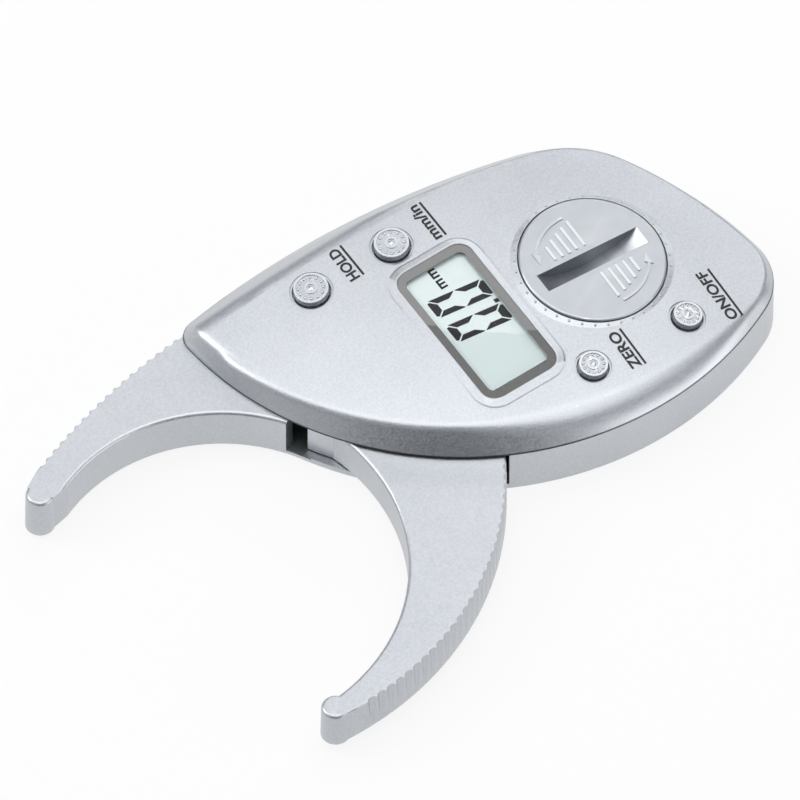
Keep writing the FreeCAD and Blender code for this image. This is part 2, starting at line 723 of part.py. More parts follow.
def lcd_panel():
    """Two sheets of glass; the lower one sticks out for the ribbon."""
    middle = V(0, 0, 0)
    shift = V(0, -LCD_LEDGE / 2, 0)
    step = LCD_TOP - LCD_GLASS_T
    front = box(shift, LCD_SIZE[0], LCD_SIZE[1] - LCD_LEDGE, step, LCD_TOP)
    rear = box(middle, LCD_SIZE[0], LCD_SIZE[1], step - LCD_GLASS_T, step)
    return placed(front.fuse(rear), display_frame())


def display_ribbon():
    """Flat connector that folds round from the display's ledge to the board."""
    frame = display_frame()
    ledge = LCD_TOP - LCD_GLASS_T
    pad = V(0, LCD_SIZE[1] / 2 - LCD_LEDGE / 2, ledge + RIBBON_T / 2 + RIBBON_LIFT)
    top = frame.multVec(pad)
    base = BOARD_Z[1] + RIBBON_T / 2
    side = DISPLAY_AT[1] + LCD_SIZE[1] / 2 + 0.55
    bend = 0.5
    corners = [V(top.x, top.y, top.z), V(top.x, side, top.z - 0.05), V(top.x, side, base), V(top.x, top.y - 2, base)]
    return strip(corners, bend, RIBBON_W, RIBBON_T)


# ---------------------------------------------------------------- strips

def bent_path(corners, bend):
    """Straight runs joined by tangent arcs of one radius."""
    edges = []
    last = corners[0]
    for before, corner, after in zip(corners, corners[1:], corners[2:]):
        inward = unit(before - corner)
        outward = unit(after - corner)
        half = inward.getAngle(outward) / 2
        cut = bend / math.tan(half)
        start = corner + inward * cut
        end = corner + outward * cut
        centre = corner + unit(inward + outward) * (bend / math.sin(half))
        middle = centre + unit(corner - centre) * bend
        edges.append(Part.makeLine(last, start))
        edges.append(Part.Arc(start, middle, end).toShape())
        last = end
    edges.append(Part.makeLine(last, corners[-1]))
    return Part.Wire(edges)


def strip(corners, bend, width, thickness):
    """A flat strip bent along a path that lies in one upright plane."""
    path = bent_path(corners, bend)
    along = unit(corners[1] - corners[0])
    across = unit((corners[1] - corners[0]).cross(corners[2] - corners[1]))
    up = unit(along.cross(across))
    a = across * (width / 2)
    b = up * (thickness / 2)
    start = corners[0]
    section = Part.makePolygon([start + a + b, start - a + b, start - a - b, start + a - b, start + a + b])
    return path.makePipeShell([section], True, False)


# ---------------------------------------------------------------- buttons and switches

def cap_relief(cap):
    """Raised rim, circle of dots and centre nub on top of a button."""
    top = CAP_RISE
    middle = V(0, 0, 0)
    rim = cap - CAP_DRAFT
    marks = [
        ring(middle, rim - CAP_RIM, rim, top - 0.1, top + CAP_RELIEF),
        ring(middle, NUB_R[0], NUB_R[1], top - 0.1, top + CAP_RELIEF),
        Part.makeSphere(NUB_DOME[0], V(0, 0, top + NUB_DOME[1] - NUB_DOME[0])),
    ]
    for index in range(CAP_DOTS):
        spot = polar(middle, cap * CAP_DOT_RING, index * 360.0 / CAP_DOTS)
        marks.append(Part.makeSphere(CAP_DOT_R, V(spot.x, spot.y, top - CAP_DOT_SINK)))
    return marks


def button(x, y, cap):
    middle = V(0, 0, 0)
    frame = crown_frame(x, y)
    dome_top = BOARD_Z[1] + SWITCH_BASE_T + DOME_H
    stem_end = dome_top + STEM_ABOVE_DOME - frame.Base.z
    body = disc(middle, cap, FLANGE[0], 0).fuse(Part.makeCone(cap, cap - CAP_DRAFT, CAP_RISE))
    flange = disc(middle, cap + FLANGE_LIP, FLANGE[0], FLANGE[1])
    stem = disc(middle, STEM_R, stem_end, FLANGE[0] + 0.1)
    return placed(body.fuse([flange, stem] + cap_relief(cap)), frame)


def switch(x, y):
    """Spring dome on its square base, under a button's stem."""
    frame = crown_frame(x, y)
    depth = BOARD_Z[1] + SWITCH_BASE_T + DOME_H - frame.Base.z
    foot = frame.multVec(V(0, 0, depth))
    low = BOARD_Z[1]
    base = box(foot, SWITCH_BASE, SWITCH_BASE, low, low + SWITCH_BASE_T)
    radius = (DOME_R ** 2 + DOME_H ** 2) / (2 * DOME_H)
    ball = Part.makeSphere(radius, V(foot.x, foot.y, low + SWITCH_BASE_T + DOME_H - radius))
    cap = ball.common(disc(foot, DOME_R + 0.1, low + SWITCH_BASE_T / 2, low + 2))
    return base.fuse(cap)


# ---------------------------------------------------------------- board

def circuit_board():
    board = slab(BOARD_INSET, BOARD_Z[0], BOARD_Z[1])
    low = BOARD_Z[0] - 1
    high = BOARD_Z[1] + 1
    gap = 0.4
    cup = leaning(disc(BAY, CUP_R + gap, low - 2, high + 2))
    holes = [cup, disc(PIVOT, ROOF_BOSS_R + gap, low, high)]
    holes += [disc(V(x, y, 0), CASE_BOSS_R + gap, low, high) for x, y in CASE_SCREWS]
    holes += [disc(V(x, y, 0), BOARD_SCREW_R + 0.15, low, high) for x, y in BOARD_SCREWS]
    return board.cut(holes)


def controller_blob():
    radius = (CHIP_R ** 2 + CHIP_H ** 2) / (2 * CHIP_H)
    low = BOARD_Z[1]
    ball = Part.makeSphere(radius, V(CHIP_AT[0], CHIP_AT[1], low + CHIP_H - radius))
    return ball.common(disc(V(CHIP_AT[0], CHIP_AT[1], 0), CHIP_R, low, low + CHIP_H + 1))


def encoder_sensor():
    spot = polar(PIVOT, SENSOR_RADIUS, -90)
    return box(spot, SENSOR[0], SENSOR[1], SENSOR_BOTTOM, BOARD_Z[0])


# ---------------------------------------------------------------- battery group

def slot_tool():
    """Coin slot: a thin slice of a big wheel, deepest in the middle."""
    half = SLOT[0] / 2
    radius = (half ** 2 + SLOT_DEPTH ** 2) / (2 * SLOT_DEPTH)
    top = COVER_Z[1]
    hub = V(BAY.x, BAY.y - SLOT[1] / 2, top - SLOT_DEPTH + radius)
    return Part.makeCylinder(radius, SLOT[1], hub, V(0, 1, 0))


def grip_marks():
    """Ribs each side of the slot and two curved arrows for the way to turn."""
    low = COVER_Z[1] - 0.1
    high = COVER_Z[1] + GRIP_RELIEF
    marks = []
    for side in (1, -1):
        for along, near, far in GRIP_RIBS:
            spot = V(BAY.x + side * along, BAY.y - side * (near + far) / 2, 0)
            marks.append(box(spot, GRIP_RIB, far - near, low, high))
        turn = 0 if side > 0 else 180
        angles = (ARROW_SWEEP[0] + turn, ARROW_SWEEP[1] + turn)
        marks.append(sector(BAY, ARROW_R - GRIP_RIB / 2, ARROW_R + GRIP_RIB / 2, angles, low, high))
        marks.append(arrow_head(turn, low, high))
    return marks


def arrow_head(turn, low, high):
    return prism([polar(BAY, radius, angle + turn) for radius, angle in ARROW_HEAD], low, high)


def battery_cover():
    lid = disc(BAY, COVER_R, COVER_Z[0], COVER_Z[1])
    lip = [e for e in lid.Edges if e.BoundBox.ZMin > COVER_Z[1] - 0.01]
    lid = lid.makeFillet(COVER_EDGE_R, lip)
    neck = ring(BAY, NECK_R[0], NECK_R[1], NECK_BOTTOM, COVER_Z[0] + 0.1)
    housing = box(BAY, SLOT_HOUSING[0], SLOT_HOUSING[1], SLOT_HOUSING_BOTTOM, COVER_Z[0] + 0.1)
    housing = housing.common(disc(BAY, NECK_R[1], 0, ABOVE_ROOF))
    half = LUG_ANGLE / 2
    lugs = [sector(BAY, NECK_R[0] + 0.5, LUG_R, (a - half, a + half), LUG_Z[0], LUG_Z[1]) for a in LUGS]
    return leaning(lid.fuse([neck, housing] + lugs + grip_marks()).cut(slot_tool()))


def cover_seal():
    return leaning(ring(BAY, SEAL_R[0], SEAL_R[1], SEAT_Z[1], COVER_Z[0]))


def coin_cell():
    """Steel can with a smaller raised cap underneath."""
    can = disc(BAY, CELL_R, CELL_Z[0] + 0.3, CELL_Z[1])
    can = can.makeFillet(0.5, [e for e in can.Edges if e.BoundBox.ZMin > CELL_Z[1] - 0.01])
    return leaning(can.fuse(disc(BAY, CELL_R - 1.4, CELL_Z[0], CELL_Z[0] + 0.4)))


def contact_negative():
    """Pad on the cup's floor with a strip out to the board's underside."""
    level = CUP_FLOOR + CONTACT_T / 2
    outside = BAY.y + CUP_R + 1.2
    corners = [V(BAY.x, BAY.y + 1, level), V(BAY.x, outside, level), V(BAY.x, outside, BOARD_Z[0] + TAIL_LIFT)]
    tail = strip(corners, 0.4, CONTACT_W, CONTACT_T)
    return leaning(disc(BAY, CONTACT_PAD_R, CUP_FLOOR, CUP_FLOOR + CONTACT_T).fuse(tail))


def contact_positive():
    """Strip beside the cell that lands on the board."""
    level = BOARD_Z[1] + CONTACT_T / 2
    wall = BAY.y - CELL_R - CELL_LEAN - CONTACT_T / 2
    outside = BAY.y - CUP_R - 2.4
    corners = [V(BAY.x, wall, CUP_FLOOR + 1), V(BAY.x, wall, level), V(BAY.x, outside, level)]
    return strip(corners, 0.4, CONTACT_W, CONTACT_T)


# ---------------------------------------------------------------- screws

def cross_recess(spot, low):
    """Cross recess in the underside of a head that faces down."""
    arms = [
        box(spot, 2 * DRIVE_R, DRIVE_SLOT, low - 1, low + DRIVE_DEPTH),
        box(spot, DRIVE_SLOT, 2 * DRIVE_R, low - 1, low + DRIVE_DEPTH),
    ]
    return arms[0].fuse(arms[1])


def case_screws():
    screws = []
    for x, y in CASE_SCREWS:
        spot = V(x, y, 0)
        head = disc(spot, CASE_HEAD_R, CASE_HEAD_Z[0], CASE_HEAD_Z[1])
        head = head.makeFillet(0.4, [e for e in head.Edges if e.BoundBox.ZMax < CASE_HEAD_Z[0] + 0.01])
        shank = disc(spot, CASE_SCREW_R - 0.02, CASE_HEAD_Z[1] - 0.1, CASE_SCREW_TOP)
        screws.append(head.fuse(shank).cut(cross_recess(spot, CASE_HEAD_Z[0])))
    return Part.makeCompound(screws)


def board_screws():
    screws = []
    low = BOARD_Z[0] - BOARD_HEAD_H
    for x, y in BOARD_SCREWS:
        spot = V(x, y, 0)
        head = disc(spot, BOARD_HEAD_R, low, BOARD_Z[0])
        shank = disc(spot, BOARD_SCREW_R - 0.02, BOARD_Z[0] - 0.1, BOARD_SCREW_TOP)
        screws.append(head.fuse(shank).cut(cross_recess(spot, low)))
    return Part.makeCompound(screws)


# ---------------------------------------------------------------- assembly

def build_nodes():
    nodes = {
        "upper_case": upper_case(),
        "lower_case": lower_case(),
        "moving_jaw": moving_jaw(),
        "pivot_pin": pivot_pin(),
        "thrust_washers": thrust_washers(),
        "return_spring": return_spring(),
        "code_disc": code_disc(),
        "encoder_sensor": encoder_sensor(),
        "display_window": display_window(),
        "display_mask": display_mask(),
        "lcd_panel": lcd_panel(),
        "display_ribbon": display_ribbon(),
        "circuit_board": circuit_board(),
        "controller_blob": controller_blob(),
        "battery_cover": battery_cover(),
        "cover_seal": cover_seal(),
        "coin_cell": coin_cell(),
        "contact_positive": contact_positive(),
        "contact_negative": contact_negative(),
        "case_screws": case_screws(),
        "board_screws": board_screws(),
    }
    for name, (x, y), cap, _ in BUTTONS:
        nodes[name + "_button"] = button(x, y, cap)
        nodes[name + "_switch"] = switch(x, y)
    return nodes


def export(nodes):
    """Writes every node with the origin under the middle of the whole caliper."""
    os.makedirs("parts", exist_ok=True)
    whole = Part.makeCompound(list(nodes.values())).optimalBoundingBox(False, False)
    origin = V(whole.Center.x, whole.Center.y, whole.ZMin)
    for name, shape in nodes.items():
        shape.translate(-origin)
        shape.exportStep("parts/" + name + ".step")
    print("origin moved to", origin, "size", whole.XLength, whole.YLength, whole.ZLength)
    print("pivot at", PIVOT - origin, "bay at", BAY - origin)
    for name, (x, y), _, _ in BUTTONS:
        frame = crown_frame(x, y)
        print(name, frame.Base - origin, "axis", frame.Rotation.multVec(V(0, 0, 1)))


export(build_nodes())
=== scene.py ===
import json
import math

import bpy
from mathutils import Matrix, Vector


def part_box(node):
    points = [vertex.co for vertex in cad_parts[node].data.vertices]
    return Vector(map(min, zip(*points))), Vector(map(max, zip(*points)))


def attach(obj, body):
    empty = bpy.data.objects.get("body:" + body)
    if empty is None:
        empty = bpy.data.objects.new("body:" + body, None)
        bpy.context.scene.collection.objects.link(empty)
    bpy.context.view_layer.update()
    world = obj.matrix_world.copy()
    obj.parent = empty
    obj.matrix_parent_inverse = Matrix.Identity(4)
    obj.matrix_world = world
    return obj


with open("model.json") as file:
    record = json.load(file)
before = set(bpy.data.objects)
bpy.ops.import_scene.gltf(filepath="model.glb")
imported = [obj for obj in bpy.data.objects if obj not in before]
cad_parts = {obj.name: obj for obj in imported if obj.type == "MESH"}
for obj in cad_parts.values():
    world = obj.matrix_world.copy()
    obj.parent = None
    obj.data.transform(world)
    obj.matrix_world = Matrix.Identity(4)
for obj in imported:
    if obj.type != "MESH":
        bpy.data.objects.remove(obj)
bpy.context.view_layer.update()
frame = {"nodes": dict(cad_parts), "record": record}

NODES = frame["nodes"]
MM = 0.001


# ---------------------------------------------------------------- plan frame
# Plan positions are in mm about a point under the middle of the display,
# +X towards the jaws, +Y towards the thumb jaw. The pivot pin ties them
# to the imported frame.

PIVOT_PLAN = Vector((14.425, 0.415, 0))
CREST = Vector((-7, -22, 18.5))
CROWN_R_LONG = 230.0
CROWN_R_CROSS = 350.0
SEAM_Z = 10.2
DISPLAY_PLAN = (-0.36, -0.93)
DISPLAY_TURN = 1.0
LCD_TOP = -0.75


def plan_shift():
    low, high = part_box("pivot_pin")
    middle = (low + high) / 2
    return Vector((middle.x, middle.y, 0)) - PIVOT_PLAN * MM


SHIFT = plan_shift()


def placed(x, y, z):
    """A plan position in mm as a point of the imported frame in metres."""
    return Vector((x, y, z)) * MM + SHIFT


def crown_height(x, y):
    reach = CROWN_R_LONG - CROWN_R_CROSS + math.sqrt(CROWN_R_CROSS ** 2 - (y - CREST.y) ** 2)
    return CREST.z - CROWN_R_LONG + math.sqrt(reach ** 2 - (x - CREST.x) ** 2)


def crown_normal(x, y):
    across = (y - CREST.y) / CROWN_R_CROSS
    along = math.atan2(x - CREST.x, crown_height(x, y) - CREST.z + CROWN_R_LONG)
    level = math.sqrt(1 - across ** 2)
    return Vector((math.sin(along) * level, across, math.cos(along) * level))


def display_matrix():
    """Plane of the display, laid on the crown, in plan mm."""
    x, y = DISPLAY_PLAN
    tilt = Vector((0, 0, 1)).rotation_difference(crown_normal(x, y)).to_matrix().to_4x4()
    turn = Matrix.Rotation(math.radians(DISPLAY_TURN), 4, "Z")
    return Matrix.Translation(Vector((x, y, crown_height(x, y)))) @ tilt @ turn


# ---------------------------------------------------------------- node helper

class Nodes:
    """Builds the nodes of one material."""

    def __init__(self, name):
        self.material = bpy.data.materials.new(name)
        self.material.use_nodes = True
        self.tree = self.material.node_tree
        self.bsdf = self.tree.nodes["Principled BSDF"]
        self.place = self.add("ShaderNodeTexCoord").outputs["Object"]

    def put(self, socket, value):
        """Links another node's output to the socket, or sets it to a constant."""
        if isinstance(value, bpy.types.NodeSocket):
            self.tree.links.new(value, socket)
        elif socket.type == "RGBA":
            socket.default_value = value + (1,)
        else:
            socket.default_value = value

    def add(self, kind, **values):
        node = self.tree.nodes.new(kind)
        for key, value in values.items():
            if hasattr(node, key):
                setattr(node, key, value)
            else:
                self.put(node.inputs[key.replace("_", " ")], value)
        return node

    def set(self, **values):
        """Fills the shader's sockets and returns the finished material."""
        for key, value in values.items():
            self.put(self.bsdf.inputs[key.replace("_", " ")], value)
        return self.material

    def filled(self, node, values, output=0):
        for socket, value in zip(node.inputs, values):
            self.put(socket, value)
        return node.outputs[output]

    def math(self, operation, *values, clamp=False):
        return self.filled(self.add("ShaderNodeMath", operation=operation, use_clamp=clamp), values)

    def vector(self, operation, *values, output="Vector"):
        return self.filled(self.add("ShaderNodeVectorMath", operation=operation), values, output)

    def scaled(self, source, factor):
        node = self.add("ShaderNodeVectorMath", operation="SCALE", Vector=source, Scale=factor)
        return node.outputs["Vector"]

    def split(self, source):
        return self.add("ShaderNodeSeparateXYZ", Vector=source).outputs

    def geometry(self, output):
        return self.add("ShaderNodeNewGeometry").outputs[output]

    def noise(self, scale, detail=2.0, roughness=0.5):
        node = self.add("ShaderNodeTexNoise", Vector=self.place, Scale=scale, Detail=detail,
                        Roughness=roughness)
        return node.outputs["Fac"]

    def range(self, source, low, high, start=0.3, end=0.7, smooth=False):
        """Maps start..end of the source to low..high."""
        node = self.add("ShaderNodeMapRange", interpolation_type="SMOOTHSTEP" if smooth else "LINEAR",
                        Value=source, From_Min=start, From_Max=end, To_Min=low, To_Max=high)
        return node.outputs["Result"]

    def step(self, source, start, end, low=0.0, high=1.0):
        """Smooth step from low to high while the source goes from start to end."""
        return self.range(source, low, high, start, end, smooth=True)

    def hump(self, source, start, full, fade, end):
        """Smooth rise from start to full and fall from fade to end."""
        return self.math("MULTIPLY", self.step(source, start, full), self.step(source, fade, end, 1.0, 0.0))

    def mix(self, factor, first, second):
        """Blend of two colours."""
        node = self.add("ShaderNodeMix", data_type="RGBA")
        for index, value in ((0, factor), (6, first), (7, second)):
            self.put(node.inputs[index], value)
        return node.outputs[2]

    def mix_normal(self, factor, first, second):
        node = self.add("ShaderNodeMix", data_type="VECTOR")
        for index, value in ((0, factor), (4, first), (5, second)):
            self.put(node.inputs[index], value)
        return node.outputs[1]

    def bump(self, height, strength, distance, shape=None):
        """Normal of a bumpy surface, over the given shape if there is one; the distance is in metres."""
        node = self.add("ShaderNodeBump", Strength=strength, Distance=distance, Height=height)
        if shape is not None:
            self.put(node.inputs["Normal"], shape)
        return node.outputs["Normal"]

    def rounded(self, radius, samples):
        """Normal with the edges softened to a radius in metres."""
        return self.add("ShaderNodeBevel", samples=samples, Radius=radius).outputs["Normal"]


# ---------------------------------------------------------------- shape of the roof's paint
# The roof's creases are crisp in the solid. Its paint carries softer ones.

ROOF_CENTRE = (-18.35, -32.81, 0.0)
ROOF_RADIUS = 60.3
BEVEL_RISE = 1.53

# The crown's roll over the crease: angles round ROOF_CENTRE between which it is wide
# and between which it is there at all, then its reach in mm inwards and outwards
ROLL_WIDE = (54.0, 80.0, 96.0, 118.0)
ROLL_THERE = (9.0, 13.0, 116.0, 124.0)
ROLL_INWARDS = (0.3, 1.9)
ROLL_OUTWARDS = (1.1, 4.2)

# Softened edges, in metres
SOFT_EDGE = 0.00012
NOSE_PLAN = (40.0, -25.0, 14.0)
NOSE_REACH = (0.003, 0.009)
NOSE_RADIUS = 0.0022
COLLAR_REACH = (0.0024, 0.003)
COLLAR_RADIUS = 0.0005
COLLAR_FADE = 0.0006

# Painted shadow: a dark line where the roof meets the lower case, in mm over the seam
SEAM_SHADOW_BAND = (0.12, 0.3)
SEAM_SHADOW_COLOUR = (0.1, 0.105, 0.11)


def crown_slope(n):
    """Unit vector square to the crown at the shaded point."""
    away = n.vector("SUBTRACT", n.place, tuple(placed(CREST.x, CREST.y, 0)))
    slope = n.vector("MULTIPLY", away, (1 / CROWN_R_LONG / MM, 1 / CROWN_R_CROSS / MM, 0))
    return n.vector("NORMALIZE", n.vector("ADD", slope, (0, 0, 1)))


def beyond_window(n):
    """How far outside the printed border's box the shaded point lies, in plan."""
    low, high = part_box("display_mask")
    middle, half = (low + high) / 2, (high - low) / 2
    away = n.vector("ABSOLUTE", n.vector("SUBTRACT", n.place, tuple(middle)))
    outside = n.vector("MAXIMUM", n.vector("SUBTRACT", away, tuple(half)), (0, 0, 0))
    return n.vector("LENGTH", n.vector("MULTIPLY", outside, (1, 1, 0)), output="Value")


def softness(n, beyond):
    """Radius of the softened edges, larger round the case's nose and the window's collar."""
    from_nose = n.vector("DISTANCE", n.place, tuple(placed(*NOSE_PLAN)), output="Value")
    return n.math("MAXIMUM", n.step(from_nose, *NOSE_REACH, NOSE_RADIUS, SOFT_EDGE),
                  n.step(beyond, *COLLAR_REACH, COLLAR_RADIUS, SOFT_EDGE))


def beyond_crease(n, spot, reach):
    """How far outside the crease between crown and bevel the spot lies, in mm."""
    away = n.vector("SUBTRACT", spot, tuple(CREST))
    bends = (0.5 / CROWN_R_LONG, 0.5 / CROWN_R_CROSS, 0)
    drop = n.vector("DOT_PRODUCT", n.vector("MULTIPLY", away, away), bends, output="Value")
    rise = n.math("SUBTRACT", CREST.z - SEAM_Z, drop)
    crease = n.math("SUBTRACT", ROOF_RADIUS, n.math("DIVIDE", rise, BEVEL_RISE))
    return n.math("SUBTRACT", reach, crease)


def rolled_normal(n, sharp):
    """Normal of the roof where its crown rolls over the crease, widest near the heel."""
    spot = n.scaled(n.vector("SUBTRACT", n.place, tuple(SHIFT)), 1 / MM)
    away = n.vector("MULTIPLY", n.vector("SUBTRACT", spot, ROOF_CENTRE), (1, 1, 0))
    beyond = beyond_crease(n, spot, n.vector("LENGTH", away, output="Value"))
    away_x, away_y, _ = n.split(away)
    angle = n.math("DEGREES", n.math("ARCTAN2", away_y, away_x))

    wide = n.hump(angle, *ROLL_WIDE)
    inner = n.math("MULTIPLY", n.range(wide, *ROLL_INWARDS, 0.0, 1.0), -1.0)
    outer = n.range(wide, *ROLL_OUTWARDS, 0.0, 1.0)
    outwards = n.scaled(n.vector("NORMALIZE", away), BEVEL_RISE)
    bevel = n.vector("NORMALIZE", n.vector("ADD", outwards, (0, 0, 1)))
    rolled = n.vector("NORMALIZE", n.mix_normal(n.step(beyond, inner, outer), crown_slope(n), bevel))

    inside = n.math("MULTIPLY", n.math("GREATER_THAN", beyond, inner), n.math("LESS_THAN", beyond, outer))
    return n.mix_normal(n.math("MULTIPLY", inside, n.hump(angle, *ROLL_THERE)), sharp, rolled)


def collar_normal(n, shape, beyond):
    """Lets the window's collar fade into the crown on the sides facing the jaws and the thumb."""
    low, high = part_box("display_mask")
    x, y, _ = n.split(n.place)
    over = n.math("MAXIMUM", n.step(x, high.x - COLLAR_FADE, high.x), n.step(y, high.y - COLLAR_FADE, high.y))
    near = n.step(beyond, *COLLAR_REACH, 1.0, 0.0)
    return n.mix_normal(n.math("MULTIPLY", over, near), shape, crown_slope(n))


def painted_seam_shadow(n, colour):
    """Painted shadow of the gap: a dark line where the roof meets the lower case."""
    low, high = (placed(0, 0, SEAM_Z + rise).z for rise in SEAM_SHADOW_BAND)
    # painted shadow: the paint turns dark in a thin band just over the seam
    return n.mix(n.step(n.split(n.place)[2], low, high, 1.0, 0.0), colour, SEAM_SHADOW_COLOUR)


# ---------------------------------------------------------------- silver paints
# Noises are scale per metre, detail and roughness. Bumps are strength and depth
# in metres. Pointiness is 0.5 on the flat, more on edges, less in hollows.

LIGHT_SILVER = (0.50, 0.52, 0.545)
DARK_SILVER = (0.465, 0.485, 0.51)
# Lighter colour for the worn edges of the flaked paint and for the painted highlight on the edges of the
# flakeless paint
EDGE_WEAR_AND_HIGHLIGHT = (0.9, 0.91, 0.93)
METALLIC = 0.88

FLAKES = (2600.0, 1.0, 0.6)
FLAKE_TINT = (0.95, 0.96, 1.0)
FLAKE_AMOUNT = 0.14
FLAKE_SPREAD = (0.35, 0.65)
FLAKE_BUMP = (0.2, 0.00006)
CLOUDS = (60.0, 3.0)
PEEL = (1100.0, 1.0)
PEEL_BUMP = (0.06, 0.0001)
WORN_AMOUNT = 0.15
WORN_POINTED = (0.55, 0.65)
SILVER_ROUGH = (0.31, 0.42)
PLAIN_SAMPLES = 4
ROOF_SAMPLES = 8

SMOOTH_CLOUDS = (300.0, 2.0)
SMOOTH_GLOSS = (900.0, 2.0)
SMOOTH_PEEL = (1500.0, 1.0)
SMOOTH_BUMP = (0.03, 0.00004)
SMOOTH_SPREAD = 0.05
# Painted shade for the hollows and painted highlight for the edges of the flakeless paint
HOLLOW_PAINTED_SHADE = (0.25, 0.26, 0.28)
HOLLOW_SHADE_POINTED = (0.36, 0.44)
EDGE_HIGHLIGHT_AMOUNT = 0.5
EDGE_HIGHLIGHT_POINTED = (0.52, 0.6)
BUTTON_ROUGH = 0.24
COVER_ROUGH = 0.3
# Painted shade on the coin slot's wall: its colour, and the range of the normal's Y over which it comes in
SLOT_PAINTED_SHADE = (0.34, 0.36, 0.4)
SLOT_SHADE_FACING = (0.6, 0.95)


def silver_tone(n, clouds):
    return n.mix(n.range(n.noise(*clouds), 0.0, 1.0), DARK_SILVER, LIGHT_SILVER)


def flaked_colour(n, flakes):
    """Silver with bright flakes and slightly worn edges."""
    grain = n.mix(n.range(flakes, 0.0, FLAKE_AMOUNT, *FLAKE_SPREAD), silver_tone(n, CLOUDS), FLAKE_TINT)
    worn = n.range(n.geometry("Pointiness"), 0.0, WORN_AMOUNT, *WORN_POINTED)
    return n.mix(worn, grain, EDGE_WEAR_AND_HIGHLIGHT)


def flaked_finish(n, flakes, colour, shape):
    """Orange peel and flakes over the given shape."""
    waves = n.bump(n.noise(*PEEL), *PEEL_BUMP, shape)
    return n.set(Base_Color=colour, Metallic=METALLIC, Roughness=n.range(flakes, *SILVER_ROUGH),
                 Normal=n.bump(flakes, *FLAKE_BUMP, waves))


def silver_paint():
    n = Nodes("silver_paint")
    flakes = n.noise(*FLAKES)
    return flaked_finish(n, flakes, flaked_colour(n, flakes), n.rounded(SOFT_EDGE, PLAIN_SAMPLES))


def roof_paint():
    """The same paint with the roof's soft creases and a painted shadow line at its foot."""
    n = Nodes("roof_paint")
    flakes = n.noise(*FLAKES)
    beyond = beyond_window(n)
    soft = n.rounded(softness(n, beyond), ROOF_SAMPLES)
    shape = collar_normal(n, rolled_normal(n, soft), beyond)
    return flaked_finish(n, flakes, painted_seam_shadow(n, flaked_colour(n, flakes)), shape)


def smooth_paint(name, rough, paint_slot_shade=False):
    """Silver paint without flakes, with painted shade in the hollows and a painted highlight on the edges."""
    n = Nodes(name)
    pointed = n.geometry("Pointiness")
    # painted shade: darker where pointiness is low, in the hollows
    shaded_hollows = n.mix(n.range(pointed, 0.0, 1.0, *HOLLOW_SHADE_POINTED), HOLLOW_PAINTED_SHADE, silver_tone(n, SMOOTH_CLOUDS))
    # painted highlight: lighter where pointiness is high, on the edges
    colour = n.mix(n.range(pointed, 0.0, EDGE_HIGHLIGHT_AMOUNT, *EDGE_HIGHLIGHT_POINTED), shaded_hollows, EDGE_WEAR_AND_HIGHLIGHT)
    if paint_slot_shade:
        # painted shade on the coin slot's wall that faces the thumb side
        colour = slot_wall_painted_shade(n, colour)
    gloss = n.range(n.noise(*SMOOTH_GLOSS), rough, rough + SMOOTH_SPREAD)
    return n.set(Base_Color=colour, Metallic=METALLIC, Roughness=gloss,
                 Normal=n.bump(n.noise(*SMOOTH_PEEL), *SMOOTH_BUMP))


def slot_wall_painted_shade(n, colour):
    """Painted shade: darker colour on the coin slot's steep wall that faces the thumb side."""
    facing = n.split(n.geometry("Normal"))[1]
    return n.mix(n.step(facing, *SLOT_SHADE_FACING), colour, SLOT_PAINTED_SHADE)


# ---------------------------------------------------------------- other materials

METAL_GRAIN = (900.0, 3.0)
METAL_BUMP = (0.15, 0.00005)
METAL_DARKER = 0.8
METAL_SPREAD = 0.15
PLASTIC_GRAIN = (1500.0, 2.0)
PLASTIC_BUMP = (0.2, 0.00005)
PLASTIC_DARKER = 0.85
PLASTIC_SPREAD = 0.12

LENS_COLOUR = (0.6, 0.62, 0.62)
LENS_HAZE = (400.0, 2.0)
LENS_ROUGH = (0.0, 0.03)
LENS_IOR = 1.47
LENS_ALPHA = 0.01

POLISH_IOR = 1.9
PRINT_ROUGH = 0.4
LCD_CELLS = (2400.0, 2.0)
LCD_TONES = ((0.58, 0.67, 0.66), (0.61, 0.70, 0.69))
LCD_ROUGH = 0.35
MASK_TONES = ((0.082, 0.081, 0.078), (0.096, 0.094, 0.09))
SEGMENT_TONES = ((0.010, 0.010, 0.012), (0.014, 0.014, 0.016))
SEGMENT_SPECULAR = 0.1
SEGMENT_COAT = 0.1

BOARD_WEAVE = (900.0, 1.5)
BOARD_TONES = ((0.02, 0.17, 0.07), (0.03, 0.24, 0.1))
BOARD_ROUGH = 0.35
BOARD_BUMP = (0.2, 0.00005)


def metal(name, colour, rough):
    n = Nodes(name)
    grain = n.noise(*METAL_GRAIN)
    tone = n.mix(n.range(grain, 0.0, 1.0), tuple(c * METAL_DARKER for c in colour), colour)
    return n.set(Base_Color=tone, Metallic=1.0, Roughness=n.range(grain, rough, rough + METAL_SPREAD),
                 Normal=n.bump(grain, *METAL_BUMP))


def plastic(name, colour, rough):
    n = Nodes(name)
    grain = n.noise(*PLASTIC_GRAIN)
    tone = n.mix(n.range(grain, 0.0, 1.0), tuple(c * PLASTIC_DARKER for c in colour), colour)
    return n.set(Base_Color=tone, Roughness=n.range(grain, rough, rough + PLASTIC_SPREAD),
                 Normal=n.bump(grain, *PLASTIC_BUMP))


def lens():
    """Clear window with a faint haze."""
    n = Nodes("clear_lens")
    haze = n.range(n.noise(*LENS_HAZE), *LENS_ROUGH)
    return n.set(Base_Color=LENS_COLOUR, Roughness=haze, IOR=LENS_IOR, Alpha=LENS_ALPHA)


